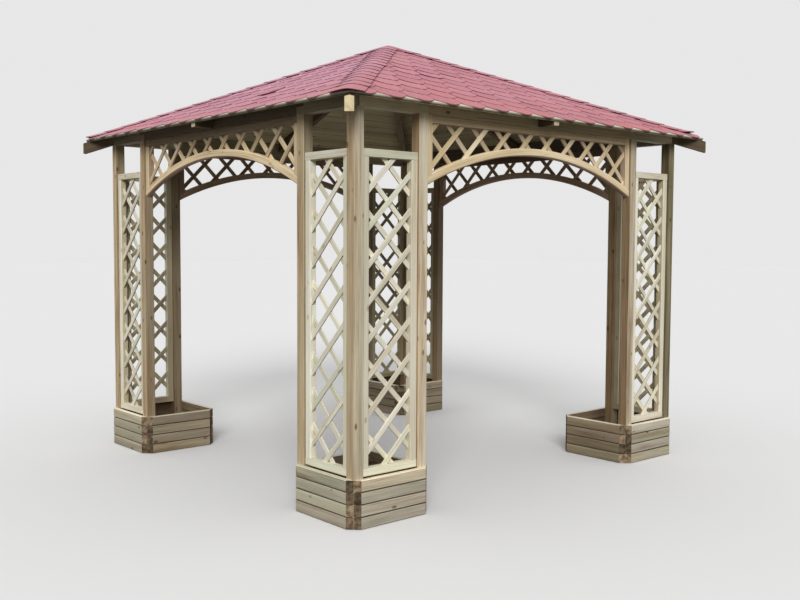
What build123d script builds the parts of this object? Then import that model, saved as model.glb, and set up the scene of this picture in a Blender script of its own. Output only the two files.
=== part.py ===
from build123d import *
import os
from math import atan, cos, pi, sin, sqrt, tan

# Garden gazebo, square in plan, with a hip roof on twelve posts.
# Millimetres, +Z up. The origin is the middle of the plan, at ground level.
# Each side is drawn once, for the south side, and each corner once, for the
# southwest corner. Quarter turns about Z make the other three.
os.makedirs("parts", exist_ok=True)

# Fits between pieces
fit = 0.3                 # timber to timber
panel_fit = 0.5           # lattice frames between their posts

# Plan and posts
span = 3000.0             # across the outer faces of the posts
post = 68.0               # square section
post_arris = 3.0          # bevel along the post edges

# Lattice panels beside each corner post
panel_width = 399.0
panel_height = 1800.0
panel_lift = 2.0          # bottom rail above the planter rim
panel_gap = 220.0         # top rail below the ring beam
frame_bar = 45.0          # width and depth of the lattice frames
slat_width = 30.0
slat_thickness = 10.0
slat_pitch = 206.0        # along an upright or a rail
slat_housing = 4.0        # how far slat ends enter the frame
slat_lean = 45            # degrees

# Arched spandrel over each archway
rib_radius = 2240.0       # outer curve of the arch
rib_depth = 48.0
rib_crown_drop = 133.0    # crown of the outer curve below the beam
spandrel_slat_shift = 50.0

# Planter box round each corner
board_thickness = 30.0
course_height = 69.0
course_count = 4
course_groove = 4.0       # depth of the joint lines between the boards
rim_radius = 5.0
board_end_gap = 1.0       # between board ends where they meet on a post
batten = 45.0             # upright inside the corner that has no post
batten_drop = 30.0        # top of that upright below the rim

# Ring beam
beam_height = 86.0        # at its outer face
lap_height = 43.0         # halved joint over the archway posts
rafter_seat = 45.0        # notch for the common rafter, above the beam's underside

# Roof frame
pitch = 22.5              # degrees
eave = 140.0              # roof boards beyond the outer post faces
hip_width = 50.0
hip_depth = 80.0
hip_tail = 155.0          # hip rafter beyond the post faces, along each side
rafter_width = 45.0
rafter_depth = 70.0
rafter_tail = 132.0
rafter_soffit = 4.0       # level cut of the common rafter's tail above the post tops
crown_width = 132.0       # across the flats of the block at the apex
crown_sides = 8
crown_drop = 45.0         # block below the undersides of the rafters

# Roof covering
deck = 18.0               # roof boards
shingle = 8.0             # overlapped shingle courses
nose_out = 18.0           # shingle edge past the end of the roof boards
nose_drop = 13.0          # shingle edge below the top of the roof boards
nose_curve = [(0.35, 0.33), (0.6, 1.0), (1.0, 1.0), (0.9, 0.0), (0.5, -0.5)]   # shares of both
hip_cap_half = 105.0      # half width of the capping along a hip
hip_cap_rise = 5.0        # crown of the capping over the hip line
hip_cap = 4.0
hip_cap_reach = 182.0     # its lower end beyond the post faces, along each side
apex_half = 118.0
apex_cap = 10.0
apex_flat = 30.0          # level top of the apex cap

# Worked out from the sizes above
half = span / 2
bay = post + panel_width + 2 * panel_fit
arch_half = half - bay - post
rim = course_height * course_count
panel_base = rim + panel_lift
post_height = panel_base + panel_height + panel_gap
beam_base = post_height
slope = tan(pitch * pi / 180)
hip_slope = slope / sqrt(2)
hip_angle = atan(hip_slope)
cos_pitch = cos(pitch * pi / 180)
sin_pitch = sin(pitch * pi / 180)
roof_base = beam_base + beam_height + fit      # underside of the boards over the outer post face
roof_apex = roof_base + half * slope
reach = 2 * span                               # past everything, for the trimming solids

sides = ["south", "east", "north", "west"]
corners = ["southwest", "southeast", "northeast", "northwest"]
nodes = {}


def solid_count(shape):
    return len(shape.solids())


def quarter_turn(shape, quarter):
    return Rot(0, 0, 90 * quarter) * shape


def prism(outline, amount, direction):
    # The face is turned to look along the direction first, so that the solid isn't inside out.
    face = make_face(outline).face()
    if face.normal_at().dot(direction) < 0:
        face = -face
    return extrude(face, amount=amount, dir=direction)


def side_profile(points, width):
    # A profile drawn in the (y, z) plane, carried along X, centred on X = 0.
    outline = Plane.YZ * Polyline(points, close=True)
    return Pos(-width / 2, 0, 0) * prism(outline, width, Vector(1, 0, 0))


def front_profile(points, low, high):
    # A profile drawn in the (x, z) plane, carried along Y from low to high.
    outline = Plane.XZ * Polyline(points, close=True)
    return Pos(0, low, 0) * prism(outline, high - low, Vector(0, 1, 0))


def plan_prism(points, low, high):
    return Pos(0, 0, low) * prism(Polyline(points, close=True), high - low, Vector(0, 0, 1))


def plan_square(size, turn=0):
    # A square in plan, from the ground up, that is 2 * size wide.
    square = Rot(0, 0, turn) * Rectangle(2 * size, 2 * size)
    return extrude(square, amount=reach)


def quarter_wedge(inset):
    # The quarter of the plan that faces south, its two sides moved in from the diagonals.
    start = inset * sqrt(2)
    points = [(0, -start), (start - reach, -reach), (reach - start, -reach)]
    return plan_prism(points, 0, reach)


def corner_wedge(inset):
    # The quarter of the plan round the southwest corner, its two sides moved in.
    points = [(-inset, -inset), (-reach, -inset), (-reach, -reach), (-inset, -reach)]
    return plan_prism(points, 0, reach)


def roof_line(distance, lift):
    # Height of the plane parallel to the boards' underside, at a distance from the middle.
    return roof_apex - distance * slope + lift / cos_pitch


def above_roof(lift):
    # Everything over the south slope's plane, for trimming what lies under the boards.
    far = span
    points = [(-far, roof_line(far, lift)), (0, roof_line(0, lift)), (0, reach), (-far, reach)]
    return side_profile(points, reach)


# Posts
def square_post(height):
    body = Pos(0, 0, height / 2) * Box(post, post, height)
    return chamfer(body.edges().filter_by(Axis.Z), post_arris)


def corner_post():
    place = post / 2 - half
    return Pos(place, place, 0) * square_post(post_height)


def archway_posts():
    place = arch_half + post / 2
    left = Pos(-place, post / 2 - half, 0) * square_post(post_height)
    right = Pos(place, post / 2 - half, 0) * square_post(post_height)
    return Compound(children=[left, right])


# Lattice
def slat_layer(region, lean, shift, middle, count):
    # Parallel leaning slats across a flat region, one layer thick.
    bars = None
    for index in range(-count, count + 1):
        bar = Pos(shift + index * slat_pitch, middle) * Rot(0, 0, lean) * Rectangle(reach, slat_width)
        piece = bar & region
        if piece is None or not piece.faces():
            continue
        bars = piece if bars is None else bars + piece
    return bars


def lattice(region, shift, middle, count):
    # Rising slats in front, falling slats behind, face to face where they cross.
    rising = extrude(slat_layer(region, slat_lean, -shift, middle, count), amount=slat_thickness)
    falling = extrude(slat_layer(region, -slat_lean, shift, middle, count), amount=-slat_thickness)
    return rising + falling


def panel():
    # Drawn flat, its face towards +Z, with the middle of its bottom edge at the origin.
    outline = Pos(0, panel_height / 2) * Rectangle(panel_width, panel_height)
    inner_width = panel_width - 2 * frame_bar
    inner_height = panel_height - 2 * frame_bar
    opening = Pos(0, panel_height / 2) * Rectangle(inner_width, inner_height)
    frame = extrude(outline - opening, amount=frame_bar / 2, both=True)
    slats_wide = inner_width + 2 * slat_housing
    slats_high = inner_height + 2 * slat_housing
    region = Pos(0, panel_height / 2) * Rectangle(slats_wide, slats_high)
    count = int(panel_height / slat_pitch)
    return frame + lattice(region, 0, panel_height / 2, count)


def panel_on_south(direction):
    place = direction * (half - post - panel_fit - panel_width / 2)
    return Pos(place, post / 2 - half, panel_base) * Rot(90, 0, 0) * panel()


def spandrel():
    # Drawn flat like the panel, with the height above ground as its Y.
    top = beam_base - panel_fit
    rib_centre = beam_base - rib_crown_drop - rib_radius
    wide = 2 * (arch_half - panel_fit)
    tall = rib_radius / 2
    band = Pos(0, top - tall / 2) * Rectangle(wide, tall)
    outer = Pos(0, rib_centre) * Circle(rib_radius)
    inner = Pos(0, rib_centre) * Circle(rib_radius - rib_depth)
    housing = Pos(0, rib_centre) * Circle(rib_radius - slat_housing)
    rib = (outer - inner) & band
    rail = Pos(0, top - frame_bar / 2) * Rectangle(wide, frame_bar)
    stiles = None
    for direction in (-1, 1):
        bar = Pos(direction * (wide - frame_bar) / 2, top - tall / 2) * Rectangle(frame_bar, tall)
        stiles = bar if stiles is None else stiles + bar
    bars = (rail + (stiles - housing)) + rib
    frame = extrude(bars, amount=frame_bar / 2, both=True)
    inner_wide = wide - 2 * frame_bar + 2 * slat_housing
    region_top = top - frame_bar + slat_housing
    field = Pos(0, region_top - tall / 2) * Rectangle(inner_wide, tall)
    region = field - housing
    count = int(wide / slat_pitch)
    return frame + lattice(region, spandrel_slat_shift, top - frame_bar, count)


def spandrel_on_south():
    return Pos(0, post / 2 - half, 0) * Rot(90, 0, 0) * spandrel()


# Planter boxes
def planter_wall():
    # One wall of a planter that is centred on the origin, on its south side.
    inner = (bay + post) / 2 + fit
    outer = inner + board_thickness
    points = [(-inner, 0), (-outer, 0)]
    for joint in range(1, course_count):
        height = joint * course_height
        points += [(-outer, height - course_groove), (-outer + course_groove, height)]
        points += [(-outer, height + course_groove)]
    points += [(-outer, rim - rim_radius), (-outer + rim_radius, rim), (-inner, rim)]
    wall = side_profile(points, 2 * outer)
    trim = 2 * inner - board_end_gap
    diamond = plan_prism([(trim, 0), (0, trim), (-trim, 0), (0, -trim)], 0, rim)
    return wall & diamond


def planter():
    centre = (bay + post) / 2 - half
    pieces = [quarter_turn(planter_wall(), quarter) for quarter in range(4)]
    batten_place = (bay + post) / 2 - batten / 2
    batten_height = rim - batten_drop
    pieces.append(Pos(batten_place, batten_place, batten_height / 2) * Box(batten, batten, batten_height))
    return Pos(centre, centre, 0) * Compound(children=pieces)


# Ring beam
def beam_bar():
    # One side's full length, stopped at the hip rafters, before its joints are cut.
    inside = half - post
    top_outer = roof_line(half, 0) - fit
    top_inner = roof_line(inside, 0) - fit
    points = [(-half, beam_base), (-inside, beam_base), (-inside, top_inner), (-half, top_outer)]
    return side_profile(points, span) & quarter_wedge(hip_width / 2 + fit)


def archway_beam():
    # The middle length, halved over the archway posts and notched for the common rafter.
    lap = beam_base + lap_height + fit
    shoulder = half - bay - fit
    over = beam_base + 2 * beam_height
    points = [(-arch_half, beam_base), (arch_half, beam_base), (arch_half, lap), (shoulder, lap)]
    points += [(shoulder, over), (-shoulder, over), (-shoulder, lap), (-arch_half, lap)]
    notch_low = beam_base + rafter_seat - fit
    notch_wide = rafter_width + 2 * fit
    notch = Pos(0, post / 2 - half, notch_low + beam_height) * Box(notch_wide, 2 * post, 2 * beam_height)
    return (beam_bar() & front_profile(points, -half, post - half)) - notch


def end_beam(direction):
    # The short length from an archway post to the corner.
    near = direction * (arch_half + fit)
    shoulder = direction * (half - bay)
    far = direction * half
    lap = beam_base + lap_height
    over = beam_base + 2 * beam_height
    points = [(far, beam_base), (near, beam_base), (near, lap), (shoulder, lap)]
    points += [(shoulder, over), (far, over)]
    return (beam_bar() & front_profile(points, -half, post - half)).solid()


def corner_beams():
    return Compound(children=[end_beam(-1), quarter_turn(end_beam(1), 3)])


# Roof frame
def hip_rafter():
    # Side view in the plane of the diagonal, measured out from the middle of the plan.
    plumb = hip_depth / cos(hip_angle)
    inner_end = crown_width / 2 + fit
    tail_end = (half + hip_tail) * sqrt(2)
    seat_out = half * sqrt(2)
    seat_in = (half - post) * sqrt(2)

    def over(distance):
        return roof_apex - distance * hip_slope

    def under(distance):
        return over(distance) - plumb

    points = [(inner_end, over(inner_end)), (inner_end, under(inner_end)), (seat_in, under(seat_in))]
    points += [(seat_in, beam_base), (seat_out, beam_base), (seat_out, under(seat_out))]
    points += [(tail_end, under(tail_end)), (tail_end, over(tail_end))]
    blank = Rot(0, 0, -135) * front_profile(points, -hip_width / 2, hip_width / 2)
    lift = -fit * cos_pitch
    return blank - above_roof(lift) - quarter_turn(above_roof(lift), 3)


def common_rafter():
    plumb = rafter_depth / cos_pitch
    inner_end = crown_width / 2 + fit
    tail_end = half + rafter_tail
    inside = half - post
    seat = beam_base + rafter_seat
    soffit = beam_base + rafter_soffit

    def over(distance):
        return roof_line(distance, 0) - fit

    points = [(-inner_end, over(inner_end)), (-inner_end, over(inner_end) - plumb)]
    points += [(fit - inside, over(inside) - plumb), (fit - inside, seat), (-half - fit, seat)]
    points += [(-half - fit, soffit), (-tail_end, soffit), (-tail_end, over(tail_end))]
    return side_profile(points, rafter_width)


def crown_block():
    top = roof_line(crown_width / 2, 0) - fit
    base = top - hip_depth / cos(hip_angle) - crown_drop
    radius = crown_width / 2 / cos(pi / crown_sides)
    face = Rot(0, 0, 180 / crown_sides) * RegularPolygon(radius, crown_sides)
    return Pos(0, 0, base) * extrude(face, amount=top - base)


# Roof covering
def slope_point(distance, lift, along=0):
    # A point of the south slope: lift is square to the boards, along is down the slope.
    out = distance + along * cos_pitch + lift * sin_pitch
    height = roof_apex - distance * slope - along * sin_pitch + lift * cos_pitch
    return (-out, height)


def roof_boards():
    edge = half + eave
    points = [slope_point(edge, 0), slope_point(edge, deck)]
    points += [(0, roof_line(0, deck)), (0, roof_apex)]
    return side_profile(points, reach) & quarter_wedge(fit / 2)


def shingle_slope():
    # The edge bends over the ends of the boards.
    edge = half + eave
    low = deck + fit
    high = low + shingle
    points = [(0, roof_line(0, low)), slope_point(edge, low, fit)]
    points += [slope_point(edge, deck - drop * nose_drop, out * nose_out) for out, drop in nose_curve]
    points += [slope_point(edge, high), (0, roof_line(0, high))]
    return side_profile(points, reach) & quarter_wedge(fit / 2)


def hip_capping():
    # A shallow arched strip, its two edges on the shingles and its crown above the hip line.
    section_slope = hip_slope * cos(hip_angle)
    drop = hip_cap_half * section_slope
    sagitta = drop + hip_cap_rise
    radius = (hip_cap_half ** 2 + sagitta ** 2) / (2 * sagitta)
    seat = (deck + fit + shingle + fit) / cos_pitch * cos(hip_angle)
    centre = hip_cap_rise - radius
    outer = Pos(0, centre) * Circle(radius + hip_cap)
    inner = Pos(0, centre) * Circle(radius)
    window = Pos(0, hip_cap - sagitta / 2) * Rectangle(2 * hip_cap_half, sagitta + 2 * hip_cap)
    section = (outer - inner) & window
    low_end = (half + hip_cap_reach) * sqrt(2) + hip_cap_half
    high_end = apex_half / 2
    length = (low_end - high_end) / cos(hip_angle)
    # The section stands square to the hip line and is carried up along it.
    along = Vector(1, 0, -hip_slope).normalized()
    up = Vector(hip_slope, 0, 1).normalized()
    start = Vector(high_end, 0, roof_apex - high_end * hip_slope) + up * seat
    frame = Plane(origin=start, x_dir=Vector(0, 1, 0), z_dir=along)
    strip = Rot(0, 0, -135) * extrude(frame * section, amount=length)
    # The lower end follows the two eaves, the upper end the apex cap.
    trimmed = strip & corner_wedge(fit / 2) & plan_square(half + hip_cap_reach)
    return trimmed - plan_square(apex_half + fit, 45)


def apex_lid():
    # Folded piece over the apex, between the upper ends of the four cappings.
    low = deck + 2 * fit + shingle
    shell = None
    for quarter in range(4):
        edge = apex_half * 2
        points = [slope_point(edge, low), slope_point(edge, low + apex_cap)]
        points += [(0, roof_line(0, low + apex_cap)), (0, roof_line(0, low))]
        part = quarter_turn(side_profile(points, reach) & quarter_wedge(0), quarter)
        shell = part if shell is None else shell + part
    top = roof_line(apex_flat / 2, low + apex_cap)
    above = Pos(0, 0, top) * plan_square(apex_half)
    return (shell & plan_square(apex_half, 45)) - above


# Nodes
for quarter, corner in enumerate(corners):
    nodes[f"{corner}_corner_post"] = quarter_turn(corner_post(), quarter)
    nodes[f"{corner}_planter"] = quarter_turn(planter(), quarter)
    nodes[f"{corner}_corner_beams"] = quarter_turn(corner_beams(), quarter)
    nodes[f"{corner}_hip_rafter"] = quarter_turn(hip_rafter(), quarter)

for quarter, side in enumerate(sides):
    nodes[f"{side}_archway_posts"] = quarter_turn(archway_posts(), quarter)
    nodes[f"{side}_lattice_panel_left"] = quarter_turn(panel_on_south(-1), quarter)
    nodes[f"{side}_lattice_panel_right"] = quarter_turn(panel_on_south(1), quarter)
    nodes[f"{side}_arch_spandrel"] = quarter_turn(spandrel_on_south(), quarter)
    nodes[f"{side}_archway_beam"] = quarter_turn(archway_beam(), quarter)
    nodes[f"{side}_roof_boards"] = quarter_turn(roof_boards(), quarter)
    nodes[f"{side}_shingles"] = quarter_turn(shingle_slope(), quarter)

nodes["common_rafters"] = Compound(children=[quarter_turn(common_rafter(), quarter) for quarter in range(4)])
nodes["hip_cappings"] = Compound(children=[quarter_turn(hip_capping(), quarter) for quarter in range(4)])
nodes["crown_block"] = crown_block()
nodes["apex_cap"] = apex_lid()

for name, shape in nodes.items():
    export_step(shape, f"parts/{name}.step")
    print(name, solid_count(shape), "solids")
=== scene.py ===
import math

import bpy
import numpy as np
from mathutils import Matrix


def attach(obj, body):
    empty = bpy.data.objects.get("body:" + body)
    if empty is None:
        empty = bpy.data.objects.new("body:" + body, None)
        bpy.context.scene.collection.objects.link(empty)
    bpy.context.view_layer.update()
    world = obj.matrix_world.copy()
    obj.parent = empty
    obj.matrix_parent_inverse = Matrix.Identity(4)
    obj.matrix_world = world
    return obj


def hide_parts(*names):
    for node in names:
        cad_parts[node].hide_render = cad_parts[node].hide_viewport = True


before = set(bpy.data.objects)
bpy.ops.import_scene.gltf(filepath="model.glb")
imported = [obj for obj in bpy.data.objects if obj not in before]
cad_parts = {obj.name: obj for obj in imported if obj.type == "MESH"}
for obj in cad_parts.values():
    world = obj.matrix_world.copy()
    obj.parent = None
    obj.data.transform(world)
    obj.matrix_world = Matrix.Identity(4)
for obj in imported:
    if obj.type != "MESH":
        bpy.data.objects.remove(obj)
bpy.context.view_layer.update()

plan = {
    "half": 1.5,            # middle to the outer post faces
    "post": 0.068,
    "archHalf": 0.964,      # middle to the archway posts
    "beamBase": 2.298,
    "roofApex": 3.00562,    # underside of the roof boards, carried up to the middle
    "pitch": 22.5,          # degrees
    "boardEdge": 1.64,      # end of the roof boards, measured level from the middle
    "deck": 0.018,          # thickness of the roof boards
}
sideNames = ["south", "east", "north", "west"]
cornerNames = ["southwest", "southeast", "northeast", "northwest"]
postLine = plan["half"] - plan["post"] / 2          # middle plane of the posts, panels and spandrels
bayMiddle = (plan["half"] + plan["archHalf"]) / 2   # middle of a lattice panel, and of a planter box
slope = math.tan(math.radians(plan["pitch"]))
cosPitch = math.cos(math.radians(plan["pitch"]))
sinPitch = math.sin(math.radians(plan["pitch"]))
diagonal = math.sqrt(0.5)


def quarterTurn(points, quarter):
    # Each quarter sends (x, y) to (-y, x).
    turned = np.array(points, dtype=float)
    for step in range(quarter):
        turned = np.stack([-turned[..., 1], turned[..., 0], turned[..., 2]], axis=-1)
    return turned


def placeObject(name, data):
    placed = bpy.data.objects.new(name, data)
    bpy.context.scene.collection.objects.link(placed)
    return placed


def buildMesh(name, points, groups, materials, smoothAngle):
    # groups are (faces, uv, tone, slot): corner indices, corner UVs in metres, one tone and one slot a face.
    # Edges that turn by more than smoothAngle, in degrees, stay sharp.
    faces, uvs, tones, slots = zip(*groups)

    def perFace(values):
        return np.concatenate([np.broadcast_to(value, len(part)) for value, part in zip(values, faces)])

    loops = np.concatenate([part.ravel() for part in faces])
    sizes = perFace([part.shape[1] for part in faces])
    mesh = bpy.data.meshes.new(name)
    mesh.vertices.add(len(points))
    mesh.vertices.foreach_set("co", np.asarray(points, dtype=np.float32).ravel())
    mesh.loops.add(len(loops))
    mesh.loops.foreach_set("vertex_index", loops.astype(np.int32))
    mesh.polygons.add(len(sizes))
    mesh.polygons.foreach_set("loop_start", (np.cumsum(sizes) - sizes).astype(np.int32))
    mesh.polygons.foreach_set("material_index", perFace(slots).astype(np.int32))
    mesh.polygons.foreach_set("use_smooth", np.full(len(sizes), smoothAngle > 0))
    layer = mesh.uv_layers.new(name="UVMap")
    layer.data.foreach_set("uv", np.concatenate([uv.ravel() for uv in uvs]).astype(np.float32))
    attribute = mesh.attributes.new("tone", "FLOAT", "FACE")
    attribute.data.foreach_set("value", perFace(tones).astype(np.float32))
    mesh.update(calc_edges=True)
    mesh.validate()
    if smoothAngle > 0:
        mesh.set_sharp_from_angle(angle=math.radians(smoothAngle))
    for material in materials:
        mesh.materials.append(material)
    piece = placeObject(name, mesh)
    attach(piece, "root")
    return piece


def tubeGrid(count, stations, ring):
    # Tube, station and ring point of each side quad.
    return np.meshgrid(np.arange(count), np.arange(stations - 1), np.arange(ring), indexing="ij")


def tubeFaces(count, stations, ring):
    # Side quads of count closed tubes, each of stations rings of ring points: corners (s, r), (s+1, r),
    # (s+1, r+1), (s, r+1), with r taken round the ring.
    tube, station, corner = tubeGrid(count, stations, ring)
    start = (tube * stations + station) * ring
    here, beside = start + corner, start + (corner + 1) % ring
    return np.stack([here, here + ring, beside + ring, beside], axis=-1).reshape(-1, 4)


def tubeCaps(count, stations, ring):
    # The first ring of each tube as it runs, and the last ring backwards.
    first = np.arange(count)[:, None] * stations * ring + np.arange(ring)
    last = first[:, ::-1] + (stations - 1) * ring
    return first, last


def runLengths(steps):
    # Length from the start to each point, one row for each tube.
    return np.concatenate([np.zeros((len(steps), 1)), np.cumsum(steps, axis=1)], axis=1)


def tubeGroups(points, tones, shift=(0.0, 0.0)):
    # points is (tubes, stations, ring, 3). The sides take slot 0: U is the length run along the tube, V the
    # way round its ring. The ends take slot 1: U runs level from the middle of the end, V upwards.
    count, stations, ring = points.shape[:3]
    shift = np.broadcast_to(shift, (count, 2))
    middle = points.mean(axis=2)
    along = runLengths(np.linalg.norm(np.diff(middle, axis=1), axis=-1)) + shift[:, :1]
    edges = np.roll(points[:, 0], -1, axis=1) - points[:, 0]
    around = runLengths(np.linalg.norm(edges, axis=-1)) + shift[:, 1:]
    tube, station, corner = tubeGrid(count, stations, ring)
    uv = np.stack([
        np.stack([along[tube, station + far], around[tube, corner + on]], -1)
        for far, on in ((0, 0), (1, 0), (1, 1), (0, 1))], axis=3).reshape(-1, 4, 2)
    groups = [(tubeFaces(count, stations, ring), uv, np.repeat(tones, (stations - 1) * ring), 0)]
    for cap, end, order in zip(tubeCaps(count, stations, ring), (0, stations - 1), (1, -1)):
        flat = points[:, end, ::order] - middle[:, end, None]
        furthest = np.argmax(flat[..., 0] ** 2 + flat[..., 1] ** 2, axis=1)
        level = flat[np.arange(count), furthest, :2]
        level = level / np.maximum(np.linalg.norm(level, axis=-1, keepdims=True), 1e-6)
        capUv = np.stack([(flat[..., :2] * level[:, None, :]).sum(axis=-1), flat[..., 2]], -1)
        groups.append((cap, capUv, tones, 1))
    return groups


def renumbered(groups, offset):
    return [(faces + offset, uv, tone, slot) for faces, uv, tone, slot in groups]


def boxRing(width, depth, bevel):
    # Eight points of a rectangle with cut corners, anticlockwise, in the (width, depth) plane.
    w, d = width / 2, depth / 2
    return np.array([
        [w, -d + bevel], [w, d - bevel], [w - bevel, d], [-w + bevel, d],
        [-w, d - bevel], [-w, -d + bevel], [-w + bevel, -d], [w - bevel, -d]])


def barPoints(starts, ends, normal, width, depth, bevel):
    # A straight bar is its eight-sided section carried from start to end, place + a * side + b * normal.
    # The side is the normal crossed with the direction.
    starts, ends = np.asarray(starts, dtype=float), np.asarray(ends, dtype=float)
    normals = np.broadcast_to(normal, starts.shape)
    direction = ends - starts
    direction = direction / np.linalg.norm(direction, axis=-1, keepdims=True)
    side = np.cross(normals, direction)
    ring = boxRing(width, depth, bevel)
    offset = ring[None, :, :1] * side[:, None, :] + ring[None, :, 1:] * normals[:, None, :]
    return np.stack([starts[:, None, :] + offset, ends[:, None, :] + offset], axis=1)


def mergeTubes(parts, seed, toneRanges=None):
    # Several sets of tubes as one set of points and groups, each tube with its own tone and its own shift.
    chance = np.random.default_rng(seed)
    furthestShift = 7       # metres of grain
    points, groups, offset = [], [], 0
    for tubes, (lowTone, highTone) in zip(parts, toneRanges or [(0, 1)] * len(parts)):
        count = len(tubes)
        tones = lowTone + (highTone - lowTone) * chance.random(count)
        shift = chance.random((count, 2)) * furthestShift
        groups += renumbered(tubeGroups(tubes, tones, shift), offset)
        points.append(tubes.reshape(-1, 3))
        offset += len(points[-1])
    return np.concatenate(points), groups


# Nodes of the materials. Colours are three numbers; the fourth is added where a socket takes one.
def newMaterial(name):
    material = bpy.data.materials.new(name)
    material.use_nodes = True
    material.node_tree.nodes.clear()
    return material, material.node_tree


def addNode(tree, kind, inputs=None, **settings):
    node = tree.nodes.new("ShaderNode" + kind)
    for key, value in settings.items():
        setattr(node, key, value)
    for key, value in (inputs or {}).items():
        socket = node.inputs[key]
        if isinstance(value, bpy.types.NodeSocket):
            tree.links.new(value, socket)
        else:
            socket.default_value = (*value, 1) if socket.type == "RGBA" else value
    return node


def mathNode(tree, operation, *values):
    return addNode(tree, "Math", dict(enumerate(values)), operation=operation).outputs[0]


def vectorMath(tree, operation, *values):
    # SCALE takes its number on a socket of its own; DISTANCE and DOT_PRODUCT give a number.
    sockets = (0, "Scale") if operation == "SCALE" else (0, 1)
    node = addNode(tree, "VectorMath", dict(zip(sockets, values)), operation=operation)
    return node.outputs["Value" if operation in ("DISTANCE", "DOT_PRODUCT") else "Vector"]


def axes(tree, vector):
    return addNode(tree, "SeparateXYZ", {0: vector}).outputs


def joinedAxes(tree, parts):
    return addNode(tree, "CombineXYZ", dict(enumerate(parts))).outputs[0]


def coordinate(tree, name):
    return addNode(tree, "TexCoord").outputs[name]


def ownUv(tree):
    return addNode(tree, "UVMap", uv_map="UVMap").outputs[0]


def ownTone(tree):
    return addNode(tree, "Attribute", attribute_name="tone").outputs["Fac"]


def scaledVector(tree, vector, scale):
    return addNode(tree, "Mapping", {"Vector": vector, "Scale": scale}).outputs[0]


def noiseNode(tree, vector, scale, detail, roughness=0.5, distortion=0.0):
    return addNode(tree, "TexNoise", {
        "Vector": vector, "Scale": scale, "Detail": detail, "Roughness": roughness,
        "Distortion": distortion}).outputs[0]


def cellNoise(tree, cell):
    # A number from 0 to 1 for each cell.
    return addNode(tree, "TexWhiteNoise", {"Vector": cell}, noise_dimensions="3D").outputs["Value"]


def mapRange(tree, value, low, high, atLow=0.0, atHigh=1.0, kind="LINEAR"):
    inputs = dict(enumerate((value, low, high, atLow, atHigh)))
    return addNode(tree, "MapRange", inputs, interpolation_type=kind).outputs[0]


def rampNode(tree, factor, places, colours):
    node = addNode(tree, "ValToRGB", {0: factor})
    elements = node.color_ramp.elements
    while len(elements) < len(places):
        elements.new(0.5)
    for element, place, colour in zip(elements, places, colours):
        element.position = place
        element.color = (*colour, 1)
    return node.outputs[0]


def greyRamp(tree, factor, places, levels=(0, 1)):
    return rampNode(tree, factor, places, [(level, level, level) for level in levels])


def greyLevel(tree, level):
    return addNode(tree, "CombineColor", {0: level, 1: level, 2: level}).outputs[0]


def mixColour(tree, factor, a, b, blend="MIX"):
    return addNode(tree, "Mix", {0: factor, 6: a, 7: b}, data_type="RGBA", blend_type=blend).outputs[2]


def multiplied(tree, colour, tint):
    return mixColour(tree, 1.0, colour, tint, "MULTIPLY")


def tintWhere(tree, factor, colour, tint):
    return mixColour(tree, factor, colour, multiplied(tree, colour, tint))


def levelled(tree, colour, value, darkest, rise):
    # The colour at the level darkest + rise * value.
    level = mathNode(tree, "MULTIPLY_ADD", value, rise, darkest)
    return multiplied(tree, colour, greyLevel(tree, level))


def finishWith(tree, look, colour, height, roughness, **sheen):
    # Bump, shader and output, the last nodes of a finish.
    bump = addNode(tree, "Bump", {
        "Height": height, "Distance": look["bump"], "Strength": look["bumpStrength"]}).outputs[0]
    shader = addNode(tree, "BsdfPrincipled", {
        "Base Color": colour, "Roughness": roughness, "Normal": bump, "Specular IOR Level": look["gloss"],
        **sheen})
    addNode(tree, "OutputMaterial", {0: shader.outputs[0]})


def linear(seen):
    # A colour as it is seen, 0 to 255, as the linear values that a shader takes, or each of several colours.
    share = np.array(seen) / 255
    return tuple(np.where(share <= 0.04045, share / 12.92, ((share + 0.055) / 1.055) ** 2.4))


def roofPlace(tree):
    # Object coordinates with out = max(|x|, |y|), the way from the middle to the nearest side, beside, the
    # place along that side, and sideways, which is 1 on the west and east sides.
    x, y, z = axes(tree, coordinate(tree, "Object"))
    sizeX, sizeY = mathNode(tree, "ABSOLUTE", x), mathNode(tree, "ABSOLUTE", y)
    out = mathNode(tree, "MAXIMUM", sizeX, sizeY)
    nearX = mathNode(tree, "GREATER_THAN", sizeY, sizeX)
    beside = mathNode(tree, "MULTIPLY_ADD", mathNode(tree, "SUBTRACT", x, y), nearX, y)
    sideways = mathNode(tree, "GREATER_THAN", sizeX, sizeY)
    return {"x": x, "y": y, "z": z, "sizeX": sizeX, "sizeY": sizeY, "out": out, "beside": beside,
            "sideways": sideways}


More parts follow.
